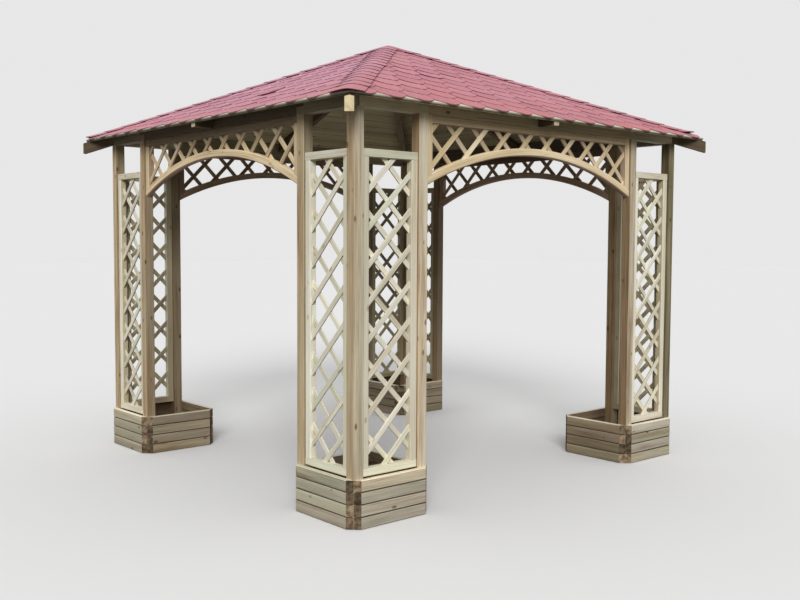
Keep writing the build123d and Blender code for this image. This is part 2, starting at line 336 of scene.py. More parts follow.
def grainVector(tree, grain):
    # (along, across, through) in metres, a tone from 0 to 1 for each piece, and how far out it reaches. "uv"
    # takes them from the mesh, "post" runs up, "ring" along the nearest side, "hip" and "common" down the
    # roof.
    if grain == "uv":
        return ownUv(tree), ownTone(tree), None
    p = roofPlace(tree)
    reach = p["out"]
    if grain == "post":
        order = (p["z"], p["x"], p["y"])
        share = [mathNode(tree, "MULTIPLY", p[key], 4.0) for key in ("x", "y")]    # one post a quarter metre
    elif grain == "ring":
        order = (p["beside"], p["out"], p["z"])
        inside = mathNode(tree, "MULTIPLY", reach, 0.999)   # so that the nearest side passes 1
        share = [mathNode(tree, "DIVIDE", p[key], inside) for key in ("x", "y")]
    else:
        above = mathNode(tree, "MULTIPLY_ADD", p["out"], slope, p["z"])
        order = (p["out"], p["beside"], above)
        share = [mathNode(tree, "DIVIDE", p[key], reach) for key in ("x", "y")]
        if grain == "hip":
            order = (p["out"], mathNode(tree, "SUBTRACT", p["sizeX"], p["sizeY"]), above)
            reach = mathNode(tree, "MULTIPLY", mathNode(tree, "ADD", p["sizeX"], p["sizeY"]), diagonal)
    whole = "TRUNC" if grain == "ring" else "ROUND"
    cell = joinedAxes(tree, [mathNode(tree, whole, value) for value in share])
    return joinedAxes(tree, order), cellNoise(tree, cell), reach


# Timber. Scales are cells a metre along, across and through the grain. A ramp is where it starts and ends.
woodLook = {
    "grain": "uv",
    "apart": (3.1, 5.7, 9.3),       # how far apart the grain of the darkest and the palest piece lies
    "offset": 0.0,
    "streaks": (1.3, 26, 26),
    "fineLines": (9, 260, 260),
    "slowPatches": (0.9, 4, 4),
    "noiseRoughness": 0.6,
    "fineShare": 0.24,      # of the pattern, the rest being streaks
    "bandShare": 0.035,     # growth bands over both
    "bandPitch": 0.012,
    "bandLean": 0.8,
    "bandWander": 0.05,
    "contrast": 1.0,
    "levels": (0.3, 0.5, 0.68),     # of the pattern, that take the dark, the middle and the light shade
    "stain": None,          # colour of the stained patches
    "stainShare": 0.55,
    "stainRamp": (0.42, 0.62),
    "knotScale": (6, 12, 12),
    "knotSize": 0.14,
    "knotRing": (0.6, 0.7),         # share of the size where the ring starts, and how strong it is there
    "knotTint": (0.5, 0.36, 0.26),
    "knots": 1.0,
    "splitScale": (2.2, 150, 150),
    "splitRamp": (0.7, 0.76),
    "splitTint": (0.3, 0.26, 0.22),
    "splits": 0.5,
    "toneSpread": 0.28,     # a piece's own tone, from darker to lighter
    "hueSpread": 0.3,
    "hueTurns": 7.13,       # times the hues run through from the darkest to the palest piece
    "hues": [(1.0, 1.0, 1.0), (1.0, 0.92, 0.8), (0.92, 1.0, 0.87), (1.0, 0.98, 0.93), (0.94, 0.97, 0.98)],
    "paintedSideLight": None,       # painted shade: colour multiplied in on the west and east sides of the plan
    "paintedFaceLight": None,       # painted light: a browner colour multiplied in on the faces that look west and east
    "faceLimit": 0.7,
    "paintedTailShade": None,          # painted shade on the rafter tails: reach where it starts, reach where it is full, its tint
    "paintedTopLight": None,        # painted highlight: colour multiplied in on the faces that look up
    "topLimit": 0.4,
    "paintedInnerShade": None,      # painted shade: colour multiplied in on the faces that look down or inwards
    "innerReach": -0.05,    # how far out a face still counts as one of them
    "paintedBoxShade": None,        # painted shade: colour multiplied in on the faces that look into a planter box
    "boxReach": -0.1,       # least way from such a face to the box's middle
    "joints": None,         # painted shade at the boards' joints: their pitch, shares of it that are dark and unshaded, the highest
    "paintedJointShade": (0.3, 0.25, 0.2),
    "paintedEaveShadow": None,        # painted shadow of the eaves: height past which the west and east sides take it, and its tint
    "seams": None,          # pitch of the roof boards, and share of it that the seam between two takes
    "rowLevel": (0.82, 0.36),       # level of the darkest board, and how much lighter the palest is
    "seamTint": (0.3, 0.27, 0.24),
    "seamDepth": 2.5,       # times the bump
    "ends": None,           # reach past which a sawn end shows, and its colour
    "endRamp": (0.3, 0.6),
    "endStreak": (0.7, 0.66, 0.6),
    # Heights over the boards' underside: below the first an end takes the full painted shadow of the tabs,
    # above the second none, and above the third everything counts as an end.
    "arris": None,
    "paintedArrisShade": (0.16, 0.13, 0.1),
    "fineDepth": 0.6,       # share of the fine lines in the bump, the rest being streaks
    "bump": 0.0012,
    "bumpStrength": 0.6,
    "roughness": (0.66, 0.2),       # of the darkest grain, and how much rougher the palest is
    "gloss": 0.3,
}


def grainPattern(tree, look, base, streaks, fine, slow):
    # Streaks and fine lines under growth bands, sin(2 pi v / pitch), all spread about a half by contrast.
    across, through = axes(tree, base)[1:]
    leaning = mathNode(tree, "ADD", across, mathNode(tree, "MULTIPLY", through, look["bandLean"]))
    wander = mathNode(tree, "MULTIPLY_ADD", slow, look["bandWander"], leaning)
    bands = mathNode(tree, "SINE", mathNode(tree, "MULTIPLY", wander, 2 * math.pi / look["bandPitch"]))
    pattern = mathNode(tree, "MULTIPLY", streaks, 1 - look["fineShare"])
    pattern = mathNode(tree, "MULTIPLY_ADD", fine, look["fineShare"], pattern)
    pattern = mathNode(tree, "MULTIPLY_ADD", bands, look["bandShare"], pattern)
    return mathNode(tree, "MULTIPLY_ADD", pattern, look["contrast"], 0.5 - 0.5 * look["contrast"])


def addFlaws(tree, look, base, dark, colour):
    # Knots are squeezed cells, a dark middle with a brown ring round it; splits are thin dark lines.
    cells = addNode(tree, "TexVoronoi", {
        "Vector": scaledVector(tree, base, look["knotScale"]), "Scale": 1}, feature="F1").outputs["Distance"]
    size, (ringStart, ringLevel) = look["knotSize"], look["knotRing"]
    knot = greyRamp(tree, cells, (0.0, size * ringStart, size), (1, ringLevel, 0))
    knotColour = multiplied(tree, dark, look["knotTint"])
    colour = mixColour(tree, mathNode(tree, "MULTIPLY", knot, look["knots"]), colour, knotColour)
    lines = noiseNode(tree, scaledVector(tree, base, look["splitScale"]), 1, 0, look["noiseRoughness"])
    split = greyRamp(tree, lines, look["splitRamp"])
    return tintWhere(tree, mathNode(tree, "MULTIPLY", split, look["splits"]), colour, look["splitTint"])


def addPieceTone(tree, look, tone, colour):
    # Each piece's own level, 1 - spread / 2 to 1 + spread / 2, and its own hue.
    colour = levelled(tree, colour, tone, 1 - look["toneSpread"] / 2, look["toneSpread"])
    turn = mathNode(tree, "FRACT", mathNode(tree, "MULTIPLY", tone, look["hueTurns"]))
    hue = rampNode(tree, turn, np.linspace(0, 1, len(look["hues"])), look["hues"])
    return tintWhere(tree, look["hueSpread"], colour, hue)


def addTints(tree, look, reach, colour):
    # Painted shade and painted light: tints of the faces and places that lie in shade or catch the light.
    def tinted(factor, tint):
        return tintWhere(tree, factor, colour, tint)

    if look["paintedSideLight"]:
        colour = tinted(roofPlace(tree)["sideways"], look["paintedSideLight"])
    if look["paintedFaceLight"]:
        turned = mathNode(tree, "ABSOLUTE", axes(tree, coordinate(tree, "Normal"))[0])
        colour = tinted(mathNode(tree, "GREATER_THAN", turned, look["faceLimit"]), look["paintedFaceLight"])
    if look["paintedTailShade"]:
        start, full, tint = look["paintedTailShade"]
        colour = tinted(mapRange(tree, reach, start, full), tint)
    if look["paintedTopLight"]:
        rising = axes(tree, coordinate(tree, "Normal"))[2]
        colour = tinted(mathNode(tree, "GREATER_THAN", rising, look["topLimit"]), look["paintedTopLight"])
    if look["paintedInnerShade"]:
        facing = vectorMath(tree, "DOT_PRODUCT", coordinate(tree, "Object"), coordinate(tree, "Normal"))
        colour = tinted(mathNode(tree, "LESS_THAN", facing, look["innerReach"]), look["paintedInnerShade"])
    if look["paintedBoxShade"]:
        place = coordinate(tree, "Object")
        middle = vectorMath(tree, "MULTIPLY", vectorMath(tree, "SIGN", place), (bayMiddle, bayMiddle, 0))
        place = vectorMath(tree, "SUBTRACT", place, middle)
        facing = vectorMath(tree, "DOT_PRODUCT", place, coordinate(tree, "Normal"))
        colour = tinted(mathNode(tree, "LESS_THAN", facing, look["boxReach"]), look["paintedBoxShade"])
    if look["joints"]:
        pitch, dark, noShade, highest = look["joints"]
        z = roofPlace(tree)["z"]
        phase = mathNode(tree, "PINGPONG", mathNode(tree, "DIVIDE", z, pitch), 0.5)
        line = greyRamp(tree, phase, (dark, noShade), (1, 0))
        line = mathNode(tree, "MULTIPLY", line, mathNode(tree, "LESS_THAN", z, highest))
        colour = tinted(line, look["paintedJointShade"])
    # Painted shadow of the eaves on the west and east sides.
    if look["paintedEaveShadow"]:
        lowest, tint = look["paintedEaveShadow"]
        p = roofPlace(tree)
        above = mathNode(tree, "GREATER_THAN", p["z"], lowest)
        colour = tinted(mathNode(tree, "MULTIPLY", above, p["sideways"]), tint)
    return colour


def addSeams(tree, look, reach, colour, height):
    # Rows of boards: each has its own level, and a dark groove parts it from the next.
    pitch, width = look["seams"]
    rows = mathNode(tree, "DIVIDE", reach, pitch)
    board = greyRamp(tree, mathNode(tree, "PINGPONG", rows, 0.5), (0.0, width))
    row = addNode(tree, "TexWhiteNoise", {"W": mathNode(tree, "ROUND", rows)}, noise_dimensions="1D")
    colour = levelled(tree, colour, row.outputs["Value"], *look["rowLevel"])
    colour = mixColour(tree, board, multiplied(tree, colour, look["seamTint"]), colour)
    return colour, mathNode(tree, "MULTIPLY_ADD", board, look["seamDepth"], height)


def addEnds(tree, look, reach, streaks, colour):
    # Past its reach a sawn end shows, pale with faint streaks.
    limit, pale = look["ends"]
    faint = rampNode(tree, streaks, look["endRamp"], (look["endStreak"], (1, 1, 1)))
    sawn = multiplied(tree, linear(pale), faint)
    shown = mathNode(tree, "GREATER_THAN", reach, limit)
    if look["arris"]:
        # The lower arris of the roof boards' ends takes a painted shadow of the tabs; their tops, seen
        # between the tabs, are as pale as the ends, painted light.
        fullShade, noShade, top = look["arris"]
        p = roofPlace(tree)
        above = mathNode(tree, "MULTIPLY_ADD", p["out"], slope, p["z"])
        above = mathNode(tree, "SUBTRACT", above, plan["roofApex"])
        sawn = tintWhere(tree, greyRamp(tree, above, (fullShade, noShade), (1, 0)), sawn, look["paintedArrisShade"])
        shown = mathNode(tree, "MAXIMUM", shown, mathNode(tree, "GREATER_THAN", above, top))
    return mixColour(tree, shown, colour, sawn)


def woodMaterial(name, changes):
    # Timber: grain and stain, knots and splits, each piece's own tone and hue, painted shade and light,
    # seams and sawn ends.
    look = dict(woodLook, **changes)
    material, tree = newMaterial(name)
    vector, tone, reach = grainVector(tree, look["grain"])
    away = vectorMath(tree, "ADD", vectorMath(tree, "SCALE", look["apart"], tone), (look["offset"],) * 3)
    base = vectorMath(tree, "ADD", vector, away)
    streaks, fine, slow = (
        noiseNode(tree, scaledVector(tree, base, look[key]), 1, detail, look["noiseRoughness"], distortion)
        for key, detail, distortion in (("streaks", 4, 0.5), ("fineLines", 2, 0.0), ("slowPatches", 2, 0.0)))
    pattern = grainPattern(tree, look, base, streaks, fine, slow)
    shades = linear(look["shades"])
    colour = rampNode(tree, pattern, look["levels"], shades)
    if look["stain"]:
        patch = mathNode(tree, "MULTIPLY", greyRamp(tree, slow, look["stainRamp"]), look["stainShare"])
        colour = mixColour(tree, patch, colour, linear(look["stain"]))
    colour = addFlaws(tree, look, base, shades[0], colour)
    colour = addPieceTone(tree, look, tone, colour)
    colour = addTints(tree, look, reach, colour)
    height = mathNode(tree, "MULTIPLY", fine, look["fineDepth"])
    height = mathNode(tree, "MULTIPLY_ADD", streaks, 1 - look["fineDepth"], height)
    if look["seams"]:
        colour, height = addSeams(tree, look, reach, colour, height)
    if look["ends"]:
        colour = addEnds(tree, look, reach, streaks, colour)
    smoothest, rise = look["roughness"]
    finishWith(tree, look, colour, height, mathNode(tree, "MULTIPLY_ADD", pattern, rise, smoothest))
    return material


endGrainLook = {
    "shades": [(104, 82, 62), (146, 124, 98), (176, 156, 126)],
    "levels": (0.32, 0.5, 0.68),
    "centre": (0.05, -0.08),        # how far the rings' middle sways, and how far it lies below the end's
    "sway": 43.0,
    "apart": (3.0, 7.0, 0.0),       # how far apart the blots of the darkest and the palest end lie
    "blots": 32,            # a metre
    "ringPitch": 0.004,
    "ringWander": 0.004,
    "ringShare": 0.04,
    "toneTurns": 5.31,
    "toneLevel": (0.3, 0.95),       # level of the darkest end, and how much lighter the palest is
    "bump": 0.001,
    "bumpStrength": 0.5,
    "roughness": 0.9,
    "gloss": 0.2,
}


def endGrainMaterial(name, look):
    # Sawn ends: soft rings about a point beside the end, sin(2 pi r / pitch), under blots and a strong tone.
    material, tree = newMaterial(name)
    uv, tone = ownUv(tree), ownTone(tree)
    aside, below = look["centre"]
    sway = mathNode(tree, "SINE", mathNode(tree, "MULTIPLY", tone, look["sway"]))
    centre = joinedAxes(tree, (
        mathNode(tree, "MULTIPLY", sway, aside), mathNode(tree, "MULTIPLY_ADD", tone, aside, below)))
    radius = vectorMath(tree, "DISTANCE", uv, centre)
    moved = vectorMath(tree, "ADD", uv, vectorMath(tree, "SCALE", look["apart"], tone))
    blots = noiseNode(tree, moved, look["blots"], 1)
    wobble = mathNode(tree, "MULTIPLY_ADD", blots, look["ringWander"], radius)
    rings = mathNode(tree, "SINE", mathNode(tree, "MULTIPLY", wobble, 2 * math.pi / look["ringPitch"]))
    pattern = mathNode(tree, "MULTIPLY_ADD", rings, look["ringShare"], blots)
    colour = rampNode(tree, pattern, look["levels"], linear(look["shades"]))
    share = mathNode(tree, "FRACT", mathNode(tree, "MULTIPLY", tone, look["toneTurns"]))
    colour = levelled(tree, colour, mathNode(tree, "MULTIPLY", share, share), *look["toneLevel"])
    finishWith(tree, look, colour, pattern, look["roughness"])
    return material


feltLook = {
    "shades": [(148, 82, 94), (194, 127, 139), (222, 166, 176)],
    "levels": (0.25, 0.5, 0.75),
    "granules": (420, 0.5),         # a metre, and their share of the pattern
    "speckles": (60, 0.4),
    "tabShare": 0.1,        # a tab's own tone
    "patches": 3,           # a metre
    "warm": (196, 116, 114),        # colour of the lowest courses
    "warmShare": 0.75,
    "warmHeights": (2.34, 2.6),
    "warmRamp": (0.35, 0.6),
    "warmLeast": 0.2,
    "paintedSideLight": (1.05, 1.25, 1.34),     # painted sheen: colour multiplied in on the west and east slopes, paler as glare
    "hipBlend": 0.15,       # half the width over which it comes in at the hips
    "faded": (0.85, 0.3),           # level of the darkest patches, and how much lighter the palest are
    "bump": 0.001,
    "bumpStrength": 0.7,
    "roughness": 0.85,
    "gloss": 0.4,
    "sheen": {"Sheen Weight": 0.12, "Sheen Roughness": 0.4, "Sheen Tint": (1.0, 0.95, 1.0)},
}


def feltMaterial(name, look):
    # Mineral granules: speckle of two sizes, a slight tone for each tab and slow patches; the lowest courses
    # are warmer, and the west and east slopes take a painted sheen. UV counts tabs across and courses up.
    material, tree = newMaterial(name)
    place = coordinate(tree, "Object")
    tab = cellNoise(tree, vectorMath(tree, "FLOOR", ownUv(tree)))
    (fineScale, fineShare), (coarseScale, coarseShare) = look["granules"], look["speckles"]
    granules = noiseNode(tree, place, fineScale, 2)
    slow = noiseNode(tree, place, look["patches"], 3)
    pattern = mathNode(tree, "MULTIPLY", granules, fineShare)
    pattern = mathNode(tree, "MULTIPLY_ADD", noiseNode(tree, place, coarseScale, 3), coarseShare, pattern)
    pattern = mathNode(tree, "MULTIPLY_ADD", tab, look["tabShare"], pattern)
    colour = rampNode(tree, pattern, look["levels"], linear(look["shades"]))
    low = mapRange(tree, axes(tree, place)[2], *look["warmHeights"], look["warmShare"], 0.0)
    patch = mathNode(tree, "MULTIPLY", low, greyRamp(tree, slow, look["warmRamp"], (look["warmLeast"], 1)))
    colour = mixColour(tree, patch, colour, linear(look["warm"]))
    # Painted sheen on the west and east slopes, blended in across the hips.
    p = roofPlace(tree)
    beyond = mathNode(tree, "SUBTRACT", p["sizeX"], p["sizeY"])
    slopes = mapRange(tree, beyond, -look["hipBlend"], look["hipBlend"], kind="SMOOTHSTEP")
    colour = tintWhere(tree, slopes, colour, look["paintedSideLight"])
    colour = levelled(tree, colour, slow, *look["faded"])
    finishWith(tree, look, colour, granules, look["roughness"], **look["sheen"])
    return material


cutFeltLook = {
    "feltEdge": [(120, 68, 76), (150, 94, 100)],
    "underlay": [(48, 40, 34), (74, 62, 54)],
    "levels": (0.35, 0.65),
    "speckles": 40,         # a metre
    "roughness": 0.95,
}


def cutFeltMaterial(name, look):
    # The felt's dull base without its granules, with a slow speckle.
    material, tree = newMaterial(name)
    speckle = noiseNode(tree, coordinate(tree, "Object"), look["speckles"], 3)
    colour = rampNode(tree, speckle, look["levels"], linear(look[name]))
    shader = addNode(tree, "BsdfPrincipled", {"Base Color": colour, "Roughness": look["roughness"]})
    addNode(tree, "OutputMaterial", {0: shader.outputs[0]})
    return material


endGrain = endGrainMaterial("endGrain", endGrainLook)
roofFelt = feltMaterial("roofFelt", feltLook)
feltEdge = cutFeltMaterial("feltEdge", cutFeltLook)
underlay = cutFeltMaterial("underlay", cutFeltLook)
print("stage: felt and end grain")

# Shingles
shingles = {
    "courses": 12,
    "exposure": 0.148,      # along the slope
    "overhang": 0.015,      # tips of the eave course past the boards' end
    "tabWidth": 0.2047,
    "tabPlaces": (0, 0.11, 0.22, 0.32, 0.4, 0.45, 0.481, 0.484),    # columns from its middle, in tab widths
    "rounding": 0.06,       # how far a tab's corners lie above its tip
    "slot": 0.007,          # gap between two tabs
    "slotTop": 0.14,
    "butt": 0.0052,         # thickness of the lower edges
    # A tab's section along the top: way up from the tip, how far past the turn at most, height in butts and
    # share of the curl. Then the same underneath, with metres below its seat for the height.
    "topRows": [(0, 0.002, 0.7, 1), (0.0025, 0.002, 1, 1), (0.0065, 0.002, 0.98, 0.8),
                (0.013, 0.002, 0.94, 0.6), (0.035, 0.006, 0.8, 0.2)],
    "underRows": [(0.035, 0.006, 0.0012, 0.2), (0.013, 0.002, 0.0006, 0.6), (0, 0.002, 0, 1)],
    "flatFrom": 0.012,      # past the turn
    "lap": 0.155,           # length under the courses above
    "lift": 0.0215,         # top of the covered layers above the boards' underside
    "lapHeights": (0.001, -0.0015, -0.003, -0.002),     # over them: top from flatFrom to the end, and back
    "topEnd": 0.01,         # how far below the apex everything stops
    "eaveGap": 0.0024,      # eave course over the boards
    "bend": 0.05,           # radius of the bend over the boards' ends
    "bendGap": 0.002,       # inside of the bend over the boards
    "curl": 0.0022,         # how far a tab's tip may stand off
    "lifted": [             # side, course, tab and how far its tip stands off
        ("west", 3, 1, 0.009), ("south", 5, -2, 0.004), ("east", 4, 2, 0.006), ("north", 2, -3, 0.007)],
    "sideways": 0.0025,     # how far a course may lie to a side
    "underlay": ((0.062, 0.3), (0.0021, 0.0006)),   # strip under the eave course: along and over the boards
    "hipReach": 0.008,      # how far a slope runs past the hips
    "hipMargin": 0.05,      # strip beside the hips that takes the columns drawn in
    "narrowest": 0.004,     # half the width left at the top, and least width of a hip's first column
    "feltColumn": 40.5,     # of a tab in the middle
    "smooth": 35,
    "seed": 11,
}
curlCount = 64      # curls drawn for a course, more than it has tabs


def tabColumns(reach):
    # Places across a course, thick where a tab's edge turns and thin where it is nearly straight.
    half = np.array(shingles["tabPlaces"])
    within = np.concatenate([[-0.5], -half[:0:-1], half])
    count = int(reach / shingles["tabWidth"]) + 2
    tabs = np.arange(-count, count + 1)[:, None]
    return ((tabs + within[None, :]) * shingles["tabWidth"]).ravel()


def tabEdge(across, shift):
    # A tab's lower edge climbs from its tip by rounding * x^2.2, x running from 0 at its middle to 1 at its
    # side. Past its side it is the slot.
    s = shingles
    phase = np.abs(np.mod((across - shift) / s["tabWidth"], 1) - 0.5)
    side = 0.5 - s["slot"] / 2 / s["tabWidth"]
    share = np.clip(phase / side, 0, 1)
    return np.where(phase > side + 0.0005, s["slotTop"], s["rounding"] * share ** 2.2)


def slopePlace(across, up, lift):
    # A point of the south slope: up runs along the slope from the boards' end, lift is square to it. Below
    # that end the sheet bends: it turns by -up / bend about a centre that lies bend below the sheet.
    bend = shingles["bend"]
    angle = np.maximum(-up, 0) / bend
    base = plan["deck"] + shingles["bendGap"]
    radius = bend + lift - base
    flatUp = np.where(up < 0, -radius * np.sin(angle), up)
    flatLift = np.where(up < 0, base - bend + radius * np.cos(angle), lift)
    out = plan["boardEdge"] - flatUp * cosPitch + flatLift * sinPitch
    height = plan["roofApex"] - plan["boardEdge"] * slope + flatUp * sinPitch + flatLift * cosPitch
    return np.stack([across, -out, height], axis=-1)


def courseRing(across, course, shift, side, chance):
    # The closed section of one course at each place across it, as (up, lift) pairs: along the top from the
    # lower edge to the covered end, and back underneath. A tab's curl fades up the slope.
    s = shingles
    low = course * s["exposure"] - s["overhang"]
    tab = np.round((across - shift) / s["tabWidth"]).astype(int)
    curls = chance.random(curlCount) ** 3 * s["curl"]       # most tabs lie nearly flat
    for liftedSide, liftedCourse, liftedTab, amount in s["lifted"]:
        if (liftedSide, liftedCourse) == (side, course):
            curls[liftedTab % curlCount] = amount
    curl = curls[tab % curlCount]
    tip = low + tabEdge(across, shift + 0.5 * s["tabWidth"])
    turn = low + s["exposure"]
    seat = plan["deck"] + s["eaveGap"] if course == 0 else s["lift"]

    def tabRows(rows, unit):
        return [(np.minimum(tip + away, turn + furthest), seat + unit * height + curl * share)
                for away, furthest, height, share in rows]

    flat, end = turn + s["flatFrom"], turn + s["lap"]
    covered = [(up, s["lift"] + over) for up, over in zip((flat, end, end, flat), s["lapHeights"])]
    return tabRows(s["topRows"], s["butt"]) + covered + tabRows(s["underRows"], -1)


def underlayRing():
    # The section of the strip under the tabs, seen in their notches at the eave.
    (low, high), (top, under) = shingles["underlay"]
    return [(up, plan["deck"] + lift) for up, lift in ((low, top), (high, top), (high, under), (low, under))]


def hipWidth(up):
    # Level half width of the slope at that height.
    return np.maximum(plan["boardEdge"] + shingles["hipReach"] - up * cosPitch, shingles["narrowest"])


def fitWidth(across, up, reach):
    # Places past the hip are drawn in to a strip beside it, evenly, so that no two meet.
    width = hipWidth(up)
    margin = np.minimum(shingles["hipMargin"], width * 0.5)
    inner = width - margin
    spare = np.maximum(reach - inner, 1e-6)
    squeezed = inner + (np.abs(across) - inner) * margin / spare
    return np.where(np.abs(across) > inner, np.sign(across) * squeezed, across)


def feltUv(columns, row):
    # Every corner of a face takes the middle of its cell, which gives the face the tone of its tab or cap.
    cells = np.stack([columns, np.full(len(columns), row)], -1)
    return np.broadcast_to(cells[:, None, :], (len(columns), 4, 2))


def shingleSlope(quarter, side, name):
    # Each course is its section carried across the slope, drawn in beside the hips. The one before the first
    # is the strip under the eave.
    s = shingles
    chance = np.random.default_rng(s["seed"] + quarter)
    points, groups, offset = [], [], 0
    slopeEnd = plan["boardEdge"] / cosPitch - s["topEnd"]
    for course in range(-1, s["courses"]):
        low = course * s["exposure"] - s["overhang"]
        reach = float(hipWidth(max(low, 0)))
        shift = 0.5 * s["tabWidth"] * ((course + 1) % 2) + chance.normal(0, s["sideways"])
        across = tabColumns(reach) + shift
        across = across[np.abs(across) < reach - s["narrowest"]]
        across = np.concatenate([[-reach], across, [reach]])
        ring = underlayRing() if course < 0 else courseRing(across, course, shift, side, chance)
        rows = []
        for up, lift in ring:
            up = np.minimum(np.broadcast_to(up, across.shape), slopeEnd)
            rows.append(slopePlace(fitWidth(across, up, reach), up, np.broadcast_to(lift, across.shape)))
        grid = quarterTurn(np.stack(rows, axis=1), quarter)
        sides, *ends = tubeGroups(grid[None], np.array([chance.random()]))
        ringCount = len(ring)
        corner = np.tile(np.arange(ringCount), len(across) - 1)
        middle = np.repeat((across[1:] + across[:-1]) / 2, ringCount)
        uv = feltUv(np.round((middle - shift) / s["tabWidth"]) + s["feltColumn"], course + 0.5)
        slots = 2 if course < 0 else (corner >= ringCount // 2).astype(int)
        if course == 0:
            slots[corner == ringCount - 1] = 0      # the cut edge at the eave is as red as the top
        groups += renumbered([(sides[0], uv, sides[2], slots), *ends], offset)
        points.append(grid.reshape(-1, 3))
        offset += len(points[-1])
    return buildMesh(name, np.concatenate(points), groups, [roofFelt, feltEdge, underlay], s["smooth"])


for quarter, side in enumerate(sideNames):
    piece = shingleSlope(quarter, side, side + "ShingleCourses")
    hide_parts(side + "_shingles")
print("stage: shingles")

# Capping along the hips
hipCaps = {
    "count": 16,
    "halfWidth": 0.098,
    "exposure": 0.1435,
    "firstExposure": 0.2,
    "lap": 0.05,
    "rise": 0.008,          # fullness over the two slopes
    "fold": 0.025,          # radius of the fold along the hip
    "edgeFold": 0.02,       # radius of the turn of a lower edge at the hip
    "thick": 0.003,
    "gap": 0.0015,          # sides of a cap over the shingles
    "stand": 0.0034,        # lower edge over the cap below
    "spread": 0.0012,       # more of it, by chance
    # For each hip in turn: the lowest cap's lift and its place up the hip, the shift of all to the right,
    # the climb of their lower edges to the left and to the right, and how far those edges' sides stand off.
    "lowest": [0.0034, 0.013, 0.005, 0.007],
    "start": [0.0, 0.12, 0.03, 0.05],
    "sideways": [-0.02, 0.003, -0.004, 0.005],
    "climb": [(1.05, 0.55), (0.8, 0.8), (0.7, 0.9), (0.9, 0.7)],
    "sideLift": [0.0022, 0.0008, 0.0015, 0.0008],
    "lowestClimb": 0.85,    # least climb of a lowest cap, which keeps its corners on the roof
    "climbChance": 0.06,    # what chance adds to the climb, the shift, the place up the hip and the width
    "shiftChance": 0.002,
    "placeChance": 0.0015,
    "widthChance": 0.015,
    "seat": 0.0262,         # shingle tops above the boards' underside
    "lowEnd": 1.672,        # lower end, level from the middle along each side
    "columns": 17,
    "stations": (0.0, 0.015, 0.08, 0.25, 0.6, 1.0),     # shares of a cap's length
    "feltRow": 90.5,
    "smooth": 40,
    "seed": 5,
}


def hipPlace(local):
    # (place, run, height) on a cap as a point of the southwest hip: place runs square to the hip, run up it
    # from the lower end of the caps, and height square to both.
    h = hipCaps
    place, run, above = np.moveaxis(local, -1, 0)
    hipSlope = slope * diagonal
    hipCos, hipSin = math.cos(math.atan(hipSlope)), math.sin(math.atan(hipSlope))
    startOut = h["lowEnd"] / diagonal
    above = above + h["seat"] / cosPitch * hipCos
    out = startOut - run * hipCos + above * hipSin
    height = plan["roofApex"] - startOut * hipSlope + run * hipSin + above * hipCos
    return np.stack([(place - out) * diagonal, (-place - out) * diagonal, height], -1)


def hipCapPieces():
    # A cap follows the two slopes, height = rise * (1 - |u|^1.5) - fall * sqrt(a^2 + fold^2), with a the way
    # across the hip and u its share of the half width. Its lower edge stands off by a lift that fades as
    # (1 - t)^1.3 up its length t.
    h = hipCaps
    chance = np.random.default_rng(h["seed"])
    fall = math.sin(math.atan(slope * diagonal))
    u = np.linspace(-1, 1, h["columns"])
    points, tones = [], []
    for quarter in range(4):
        for index in range(h["count"]):
            left, right = np.array(h["climb"][quarter]) + chance.normal(0, h["climbChance"], 2)
            middle = h["sideways"][quarter] + chance.normal(0, h["shiftChance"])
            lift = h["stand"] + chance.random() ** 2 * h["spread"]
            low = h["firstExposure"] + (index - 1) * h["exposure"] + chance.normal(0, h["placeChance"])
            span = h["exposure"] + h["lap"]
            width = h["halfWidth"] * chance.uniform(1 - h["widthChance"], 1 + h["widthChance"])
            place = u * width + middle
            beside = np.sqrt(place ** 2 + h["edgeFold"] ** 2) - h["edgeFold"]
            lowerEdge = np.where(place < 0, left, right) * beside
            if index == 0:
                low, span = h["start"][quarter], h["firstExposure"] + h["lap"] - h["start"][quarter]
                lift = h["lowest"][quarter]
                lowerEdge = np.maximum(lowerEdge, h["lowestClimb"] * beside)
            follow = -fall * np.sqrt(place ** 2 + h["fold"] ** 2)
            follow = follow + h["rise"] * (1 - np.abs(u) ** 1.5) + h["gap"]
            rings = []
            for share in h["stations"]:
                fade = (1 - share) ** 1.3
                run = low + share * span + lowerEdge * (1 - share)
                above = follow + (lift + h["sideLift"][quarter] * u ** 2) * fade
                top, under = (np.stack([place, run, above + thick], -1) for thick in (h["thick"], 0))
                rings.append(np.concatenate([top, under[::-1]]))
            points.append(quarterTurn(hipPlace(np.stack(rings)), quarter))
            tones.append(chance.random())
    return np.stack(points), np.array(tones)


def hipCapGroups(points, tones):
    # A cap's top takes the felt, with one cell for each cap, and its edges and underside the cut felt.
    sides, *ends = tubeGroups(points, tones)
    caps, stations, ring = points.shape[:3]
    uv = feltUv(np.repeat(np.arange(caps), (stations - 1) * ring) + 0.5, hipCaps["feltRow"])
    corner = np.tile(np.arange(ring), caps * (stations - 1))
    slots = (corner >= hipCaps["columns"] - 1).astype(int)
    return [(sides[0], uv, sides[2], slots), *ends]


capPoints, capTones = hipCapPieces()
capGroups = hipCapGroups(capPoints, capTones)
capPoints = capPoints.reshape(-1, 3)
piece = buildMesh("hipCapPieces", capPoints, capGroups, [roofFelt, feltEdge], hipCaps["smooth"])
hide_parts("hip_cappings")
print("stage: hip caps")

# Piece folded over the apex
apexPiece = {
    "half": 0.112,          # half width, square to the hips
    "flat": 0.02,           # rounding of the top
    "thick": 0.007,
    "seat": 0.029,
    "columns": 33,
    "feltCell": 70.5,
    "smooth": 40,
}


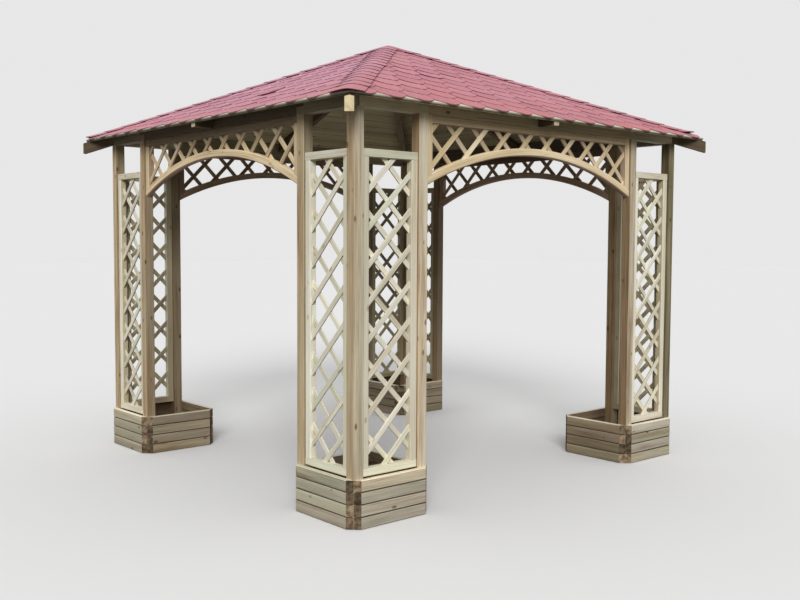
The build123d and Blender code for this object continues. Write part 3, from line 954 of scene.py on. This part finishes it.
def apexFold():
    # The height is the roof's, roofApex - slope * sqrt(out^2 + flat^2), over a square turned to the hips.
    # Out is (|x|^9 + |y|^9)^(1/9), a rounded max(|x|, |y|). The lower face is the same surface, thick below.
    a = apexPiece
    n = a["columns"]
    share = np.linspace(-1, 1, n) * a["half"]
    first, second = np.meshgrid(share, share, indexing="ij")
    x, y = (first + second) * diagonal, (second - first) * diagonal
    out = (np.abs(x) ** 9 + np.abs(y) ** 9) ** (1 / 9)
    height = plan["roofApex"] + a["seat"] / cosPitch - slope * np.sqrt(out ** 2 + a["flat"] ** 2)
    top = np.stack([x, y, height + a["thick"]], -1)
    under = np.stack([x, y, height], -1)
    row, column = np.meshgrid(np.arange(n - 1), np.arange(n - 1), indexing="ij")
    base = (row * n + column).reshape(-1)
    quads = np.stack([base, base + 1, base + n + 1, base + n], -1)
    rim = np.concatenate([np.arange(n), np.arange(1, n) * n + n - 1,
                          (n - 1) * n + np.arange(n - 2, -1, -1), np.arange(n - 2, 0, -1) * n])
    nextRim = np.roll(rim, -1)
    wall = np.stack([nextRim, nextRim + n * n, rim + n * n, rim], -1)
    groups = []
    for faces, slot in ((quads[:, ::-1], 0), (quads + n * n, 1), (wall, 1)):
        groups.append((faces, feltUv(np.full(len(faces), a["feltCell"]), a["feltCell"]), 0.5, slot))
    return np.concatenate([top.reshape(-1, 3), under.reshape(-1, 3)]), groups


apexPoints, apexGroups = apexFold()
piece = buildMesh("apexFold", apexPoints, apexGroups, [roofFelt, feltEdge], apexPiece["smooth"])
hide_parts("apex_cap")
print("stage: apex")

# Lattice panels
lattice = {
    "width": 0.399,
    "height": 1.8,
    "base": 0.278,
    "bar": 0.045,
    "slatWidth": 0.03,
    "slatThick": 0.01,
    "pitch": 0.206,
    "housing": 0.014,       # slat ends run on into the frame
    "seat": 0.001,          # stiles run on into the rails, and are thinner than they are
    "shortest": 0.03,       # least width that a slat spans
    "bevel": 0.0025,
    "slatBevel": 0.0015,
    "smooth": 0,            # every face flat
    "seed": 31,
}
latticeWood = woodMaterial("latticeWood", {
    "shades": [(198, 184, 154), (234, 228, 208), (245, 243, 230)],
    "stain": (214, 208, 188),
    "toneSpread": 0.26,
    "hueSpread": 0.5,
    "knots": 0.6,
    "splits": 0.2,
    # Painted shade on the faces that look down or inwards.
    "paintedInnerShade": (0.62, 0.56, 0.46),
})


def clippedSlats(low, high, shift, middle, lean, shortest):
    # Centre lines at 45 degrees through (shift + k * pitch, middle), cut to the box low..high. lean is 1 for
    # rising and -1 for falling slats. A line is v = middle + lean * (x - shift - k * pitch).
    pitch = lattice["pitch"]
    reach = int((high[0] - low[0] + high[1] - low[1]) / pitch) + 2
    crossing = shift + np.arange(-reach, reach + 1) * pitch
    atLow, atHigh = crossing + lean * (low[1] - middle), crossing + lean * (high[1] - middle)
    left = np.maximum(low[0], np.minimum(atLow, atHigh))
    right = np.minimum(high[0], np.maximum(atLow, atHigh))
    kept = right - left > shortest
    ends = np.stack([left[kept], right[kept]], axis=1)
    return np.stack([ends, middle + lean * (ends - crossing[kept, None])], axis=-1)


def southBars(pairs, width, thick, bevel, depth=0.0, across=0.0, base=0.0):
    # Bars between pairs of points of a flat drawing (x, height), stood on the south side, depth proud of its
    # middle plane.
    flat = np.array(pairs, dtype=float)
    plane = np.full(flat.shape[:-1], -postLine) - depth
    stood = np.stack([flat[..., 0] + across, plane, flat[..., 1] + base], -1)
    return barPoints(stood[:, 0], stood[:, 1], (0.0, -1.0, 0.0), width, thick, bevel)


def panelTubes(direction):
    p = lattice
    halfWide, tall, bar = p["width"] / 2, p["height"], p["bar"]
    place = {"across": direction * bayMiddle, "base": p["base"]}
    rails = [((-halfWide, y), (halfWide, y)) for y in (bar / 2, tall - bar / 2)]
    foot, head = bar - p["seat"], tall - bar + p["seat"]
    stiles = [((x, foot), (x, head)) for x in (-halfWide + bar / 2, halfWide - bar / 2)]
    tubes = [southBars(rails, bar, bar, p["bevel"], **place),
             southBars(stiles, bar, bar - p["seat"], p["bevel"], **place)]
    low = (-halfWide + bar - p["housing"], bar - p["housing"])
    high = (halfWide - bar + p["housing"], tall - bar + p["housing"])
    for lean in (1, -1):
        pairs = clippedSlats(low, high, 0, tall / 2, lean, p["shortest"])
        tubes.append(southBars(
            pairs, p["slatWidth"], p["slatThick"], p["slatBevel"], lean * p["slatThick"] / 2, **place))
    return tubes


for quarter, side in enumerate(sideNames):
    for direction, hand in ((-1, "left"), (1, "right")):
        tubes = [quarterTurn(tube, quarter) for tube in panelTubes(direction)]
        points, groups = mergeTubes(tubes, lattice["seed"] + quarter * 2 + (direction > 0))
        name = f"{side}LatticePanel{hand.capitalize()}"
        piece = buildMesh(name, points, groups, [latticeWood, endGrain], lattice["smooth"])
        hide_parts(f"{side}_lattice_panel_{hand}")
print("stage: lattice panels")

# Arched spandrels
spandrel = {
    "gap": 0.0005,          # to the archway posts and the beam
    "bar": 0.045,
    "seat": 0.001,          # the rail runs on into the stiles, and both are thinner than the rib
    "foot": 0.02,           # how far the stiles run down into the rib
    "ribRadius": 2.24,
    "ribDepth": 0.048,
    "ribBevel": 0.006,
    "ribCentre": -0.075,
    "ribHousing": 0.016,    # slat ends run on into the rib
    "ribSteps": 49,
    "slatShift": 0.05,
    "slatBase": 1.9,        # lower than the rib's outer circle anywhere
    "slatSteps": 400,
    "shortest": (0.02, 0.03),       # least width that a slat spans, and least length over the rib
    "tones": [(0.3, 0.4), (0.5, 0.8), (0.75, 0.8), (0.6, 0.95), (0.0, 0.5)],   # rail, stiles, rib, rising slats, falling slats; the slats' two ranges are painted light and painted shade
    "paintedLightRibTone": (0.92, 0.95),        # painted light: the rib on the west and east, lighter
    "smooth": 25,
    "seed": 71,
}
archHalf = plan["archHalf"] - spandrel["gap"]
archTop = plan["beamBase"] - spandrel["gap"]
archWood = woodMaterial("archWood", {
    "shades": [(170, 143, 104), (226, 205, 168), (240, 227, 202)],
    "stain": (200, 179, 142),
    "toneSpread": 0.6,
    "knots": 0.6,
    # Painted shade on the faces that look down or inwards.
    "paintedInnerShade": (0.6, 0.52, 0.55),
    "paintedEaveShadow": (2.252, (0.42, 0.38, 0.36)),         # painted shadow of the eave on the rail under the beam
})


def ribHeight(across, radius):
    # Height of the circle of that radius over the rib's centre.
    return spandrel["ribCentre"] + np.sqrt(radius ** 2 - across ** 2)


def spandrelTubes():
    s = spandrel
    bar, seat = s["bar"], s["seat"]
    railEnd, railHeight = archHalf - bar + seat, archTop - bar / 2
    rail = southBars([((-railEnd, railHeight), (railEnd, railHeight))],
                     bar, bar - 2 * seat, lattice["bevel"])
    foot = ribHeight(archHalf - bar / 2, s["ribRadius"]) - s["foot"]
    stiles = southBars([((x, foot), (x, archTop)) for x in (-archHalf + bar / 2, archHalf - bar / 2)],
                       bar, bar - seat, lattice["bevel"])
    # The rib: at each place across, the section runs from the inner to the outer circle.
    across = np.linspace(-archHalf, archHalf, s["ribSteps"])
    ring = boxRing(s["ribDepth"], bar, s["ribBevel"])
    outer = ribHeight(across, s["ribRadius"])
    inner = ribHeight(across, s["ribRadius"] - s["ribDepth"])
    share = ring[:, 0] / s["ribDepth"] + 0.5
    height = outer[:, None] + (inner - outer)[:, None] * share[None, :]
    rib = np.stack([np.broadcast_to(across[:, None], height.shape),
                    np.broadcast_to(-postLine - ring[None, :, 1], height.shape), height], -1)[None]
    tubes = [rail, stiles, rib]
    low = (-archHalf + bar - lattice["housing"], s["slatBase"])
    high = (archHalf - bar + lattice["housing"], archTop - bar + lattice["housing"])
    widest, longest = s["shortest"]
    for lean in (1, -1):
        pairs = clippedSlats(low, high, -lean * s["slatShift"], archTop - bar, lean, widest)
        # The lower end stops just inside the rib.
        falls = (pairs[:, 0, 1] > pairs[:, 1, 1])[:, None]
        upper, lower = np.where(falls, pairs[:, 0], pairs[:, 1]), np.where(falls, pairs[:, 1], pairs[:, 0])
        steps = np.linspace(0, 1, s["slatSteps"])
        line = upper[:, None, :] + (lower - upper)[:, None, :] * steps[None, :, None]
        inside = line[..., 1] < ribHeight(line[..., 0], s["ribRadius"] - s["ribHousing"])
        cut = np.where(inside.any(axis=1), inside.argmax(axis=1), s["slatSteps"] - 1)
        pairs = np.stack([upper, line[np.arange(len(line)), cut]], axis=1)
        pairs = pairs[np.linalg.norm(pairs[:, 0] - pairs[:, 1], axis=-1) > longest]
        thick = lattice["slatThick"]
        tubes.append(southBars(pairs, lattice["slatWidth"], thick, lattice["slatBevel"], lean * thick / 2))
    return tubes


for quarter, side in enumerate(sideNames):
    tubes = [quarterTurn(tube, quarter) for tube in spandrelTubes()]
    toneRanges = list(spandrel["tones"])
    if quarter % 2:
        toneRanges[3:] = toneRanges[:2:-1]      # painted light: west and east the falling slats are the lighter ones
        toneRanges[2] = spandrel["paintedLightRibTone"]
    points, groups = mergeTubes(tubes, spandrel["seed"] + quarter, toneRanges)
    piece = buildMesh(side + "ArchSpandrel", points, groups, [archWood, endGrain], spandrel["smooth"])
    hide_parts(side + "_arch_spandrel")
print("stage: spandrels")

# Planter boxes
planter = {
    "inner": 0.2683,        # box's middle to the inner faces
    "thick": 0.03,
    "course": 0.069,
    "courses": 4,
    "gap": 0.001,
    "edge": 0.005,          # rounding of the boards' long edges
    "edgeSteps": 5,
    "joint": 0.0024,
    "batten": 0.045,
    "battenTop": 0.246,
    "battenGap": 0.0003,
    "battenBevel": 0.002,
    "smooth": 35,
    "seed": 91,
}
planterWood = woodMaterial("planterWood", {
    "shades": [(146, 126, 100), (188, 176, 156), (210, 202, 186)],
    "stain": (168, 170, 152),
    "toneSpread": 0.4,
    "hueSpread": 0.7,
    # Painted highlight on the tops of the boards.
    "paintedTopLight": (1.8, 1.88, 2.02),
    # Painted shade on the walls that face the middle of the plan.
    "paintedInnerShade": (0.64, 0.58, 0.52),
    "innerReach": -0.5,
    # Painted shade on the faces inside the box.
    "paintedBoxShade": (0.42, 0.34, 0.28),
    # Painted shade along the joints between the courses.
    "joints": (planter["course"], 0.04, 0.1, 0.25),
})


def boardRing():
    # A rectangle from the inner to the outer face, its outer corners rounded by quarter circles.
    p = planter
    radius = p["edge"]
    low, high = p["joint"], p["course"] - p["joint"]
    inner, outer = p["inner"], p["inner"] + p["thick"]
    turn = np.linspace(0, np.pi / 2, p["edgeSteps"])
    top = np.stack([outer - radius + radius * np.sin(turn), high - radius + radius * np.cos(turn)], -1)
    bottom = np.stack([outer - radius + radius * np.cos(turn), low + radius - radius * np.sin(turn)], -1)
    return np.concatenate([[[inner, low], [inner, high]], top, bottom])


def planterTubes():
    # A board is its section carried between the two slanted ends, where |x| = 2 * inner - gap - depth.
    p = planter
    ring = boardRing()
    reach = 2 * p["inner"] - p["gap"] - ring[:, 0]
    boards = []
    for course in range(p["courses"]):
        for wall in range(4):
            ends = [np.stack([direction * reach, -ring[:, 0], ring[:, 1] + course * p["course"]], -1)
                    for direction in (-1, 1)]
            boards.append(quarterTurn(np.stack(ends), wall) - np.array([bayMiddle, bayMiddle, 0]))
    place = -bayMiddle + p["inner"] - p["battenGap"] - p["batten"] / 2
    upright = barPoints([(place, place, 0.0)], [(place, place, p["battenTop"])], (0.0, -1.0, 0.0),
                        p["batten"], p["batten"], p["battenBevel"])
    return [np.stack(boards), upright]


for quarter, corner in enumerate(cornerNames):
    tubes = [quarterTurn(tube, quarter) for tube in planterTubes()]
    points, groups = mergeTubes(tubes, planter["seed"] + quarter)
    piece = buildMesh(corner + "PlanterBoards", points, groups, [planterWood, endGrain], planter["smooth"])
    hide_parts(corner + "_planter")
print("stage: planters")

# Finishes of the pieces that are shown as they are
timbers = {
    # postWood: painted light browns the faces that look west and east, and painted shade darkens the faces
    # that look inwards.
    "postWood": {
        "grain": "post", "shades": [(152, 126, 96), (200, 182, 155), (222, 212, 190)],
        "stain": (188, 182, 162), "toneSpread": 0.4, "contrast": 1.25, "paintedFaceLight": (0.92, 0.82, 0.71),
        "paintedInnerShade": (0.56, 0.51, 0.44), "innerReach": 1.2},
    # A darker copy of postWood: painted shade for the southeast corner post, deepest under the roof.
    "paintedShadePostWood": {
        "grain": "post", "shades": [(84, 76, 54), (122, 113, 86), (150, 140, 112)], "toneSpread": 0.2,
        "paintedInnerShade": (0.56, 0.51, 0.44), "innerReach": 1.2},
    # beamWood: painted shade darkens the west and east beams.
    "beamWood": {
        "grain": "ring", "shades": [(122, 106, 84), (180, 164, 134), (202, 188, 160)],
        "stain": (136, 130, 102), "offset": 3, "paintedSideLight": (0.25, 0.21, 0.2)},
    # cornerBeamWood: a paler copy of beamWood, painted light that lifts the corner beams out of the eaves'
    # shade; painted shade darkens the west and east sides.
    "cornerBeamWood": {
        "grain": "ring", "shades": [(160, 146, 118), (216, 204, 175), (232, 225, 202)],
        "stain": (136, 130, 102), "paintedSideLight": (0.47, 0.43, 0.41)},
    # hipWood: painted shade darkens the tails outside the beams.
    "hipWood": {
        "grain": "hip", "shades": [(96, 80, 58), (146, 128, 100), (168, 152, 124)], "toneSpread": 0.12,
        "ends": (2.339, (230, 213, 170)), "paintedTailShade": (2.05, 2.15, (0.34, 0.31, 0.29))},
    # commonWood: painted shade darkens the tails outside the beams.
    "commonWood": {
        "grain": "common", "shades": [(64, 52, 38), (98, 84, 62), (122, 108, 84)], "toneSpread": 0.12,
        "ends": (1.6305, (206, 194, 160)), "paintedTailShade": (1.49, 1.51, (0.66, 0.62, 0.58))},
    # roofBoardWood: painted shade darkens the west and east sides; its pale ends are sawn ends made paler as
    # painted light, under a painted shadow of the tabs.
    "roofBoardWood": {
        "grain": "ring", "shades": [(172, 157, 122), (224, 207, 166), (236, 224, 190)], "contrast": 0.6,
        "splits": 0.2, "offset": 5, "paintedSideLight": (0.58, 0.58, 0.56), "seams": (0.094, 0.05),
        "ends": (1.6402, (226, 220, 200)), "arris": (0.009, 0.0165, 0.019)},
}
woods = {name: woodMaterial(name, changes) for name, changes in timbers.items()}


def paintNode(node, wood):
    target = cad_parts[node]
    target.data.materials.clear()
    target.data.materials.append(woods[wood])


for corner in cornerNames:
    # The southeast corner post takes the darker copy, painted shade.
    paintNode(corner + "_corner_post", "paintedShadePostWood" if corner == "southeast" else "postWood")
    paintNode(corner + "_corner_beams", "cornerBeamWood")
    paintNode(corner + "_hip_rafter", "hipWood")
for side in sideNames:
    paintNode(side + "_archway_posts", "postWood")
    paintNode(side + "_archway_beam", "beamWood")
    paintNode(side + "_roof_boards", "roofBoardWood")
paintNode("common_rafters", "commonWood")
paintNode("crown_block", "hipWood")
print("stage: finishes")

# Floor, light and camera
studio = {
    "floorSize": 60.0,
    "floorShade": 0.15,     # what the floor throws back on the object
    "floorSeen": 0.87,      # how pale it looks
    "skySeen": 0.8,
    "skyLow": 0.15,         # light from the horizon
    "skyRise": 0.68,        # more of it from straight above
    "sunPower": 2.35,
    "sunAngle": 26.0,
    "sunElevation": 26.0,
    "sunHeading": 50.0,     # degrees from +X towards +Y, the way the light travels
}


def seenColour(tree, light, seen):
    # The colour seen is for the eye, reflections and glass; all other light takes the first.
    rays = addNode(tree, "LightPath").outputs
    direct = mathNode(tree, "MAXIMUM", rays["Is Camera Ray"], rays["Is Glossy Ray"])
    direct = mathNode(tree, "MAXIMUM", direct, rays["Is Transmission Ray"])
    return mixColour(tree, direct, light, (seen, seen, seen))


def makeFloor():
    size = studio["floorSize"]
    corners = [(-size, -size, 0), (size, -size, 0), (size, size, 0), (-size, size, 0)]
    mesh = bpy.data.meshes.new("floor")
    mesh.from_pydata(corners, [], [(0, 1, 2, 3)])
    material, tree = newMaterial("floorPaint")
    colour = seenColour(tree, (studio["floorShade"],) * 3, studio["floorSeen"])
    shader = addNode(tree, "BsdfDiffuse", {"Color": colour})
    addNode(tree, "OutputMaterial", {0: shader.outputs[0]})
    mesh.materials.append(material)
    floor = placeObject("floor", mesh)


def makeWorld():
    # The light of the sky is skyLow + skyRise * sin(elevation); the eye sees an even pale grey.
    world = bpy.data.worlds.new("studioWorld")
    world.use_nodes = True
    tree = world.node_tree
    tree.nodes.clear()
    height = mathNode(tree, "MAXIMUM", axes(tree, coordinate(tree, "Generated"))[2], 0.0)
    light = mathNode(tree, "MULTIPLY_ADD", height, studio["skyRise"], studio["skyLow"])
    colour = seenColour(tree, greyLevel(tree, light), studio["skySeen"])
    shader = addNode(tree, "Background", {"Color": colour, "Strength": 1.0})
    addNode(tree, "OutputWorld", {0: shader.outputs[0]})
    bpy.context.scene.world = world


def makeSun():
    light = bpy.data.lights.new("studioSun", "SUN")
    light.energy = studio["sunPower"]
    light.angle = math.radians(studio["sunAngle"])
    lamp = placeObject("studioSun", light)
    turn = math.radians(90 - studio["sunElevation"])
    heading = math.radians(studio["sunHeading"] - 90)
    lamp.rotation_euler = (turn, 0, heading)


view = {
    "place": (-4.6876, -5.5496, 1.5739),
    "yaw": 49.0379,         # degrees from +X towards +Y
    "pitch": -3.4831,
    "roll": 0.2727,
    "focal": 43.118,        # millimetres
    "sensor": 36.0,
    "furthest": 200.0,
}


def makeCamera():
    # Right and up follow from the heading; the roll turns both about the line of sight.
    yaw, pitch, roll = (math.radians(view[key]) for key in ("yaw", "pitch", "roll"))
    forward = np.array([math.cos(yaw) * math.cos(pitch), math.sin(yaw) * math.cos(pitch), math.sin(pitch)])
    level = np.array([math.sin(yaw), -math.cos(yaw), 0.0])
    upright = np.cross(level, forward)
    right = math.cos(roll) * level + math.sin(roll) * upright
    up = -math.sin(roll) * level + math.cos(roll) * upright
    data = bpy.data.cameras.new("photoCamera")
    data.sensor_width = view["sensor"]
    data.lens = view["focal"]
    data.clip_end = view["furthest"]
    camera = placeObject("photoCamera", data)
    columns = np.stack([right, up, -forward, view["place"]], axis=-1)
    camera.matrix_world = Matrix([*columns.tolist(), (0, 0, 0, 1)])
    bpy.context.scene.camera = camera


makeFloor()
makeWorld()
makeSun()
makeCamera()
bpy.context.scene.view_settings.view_transform = "Standard"
print("stage: floor, light and camera")
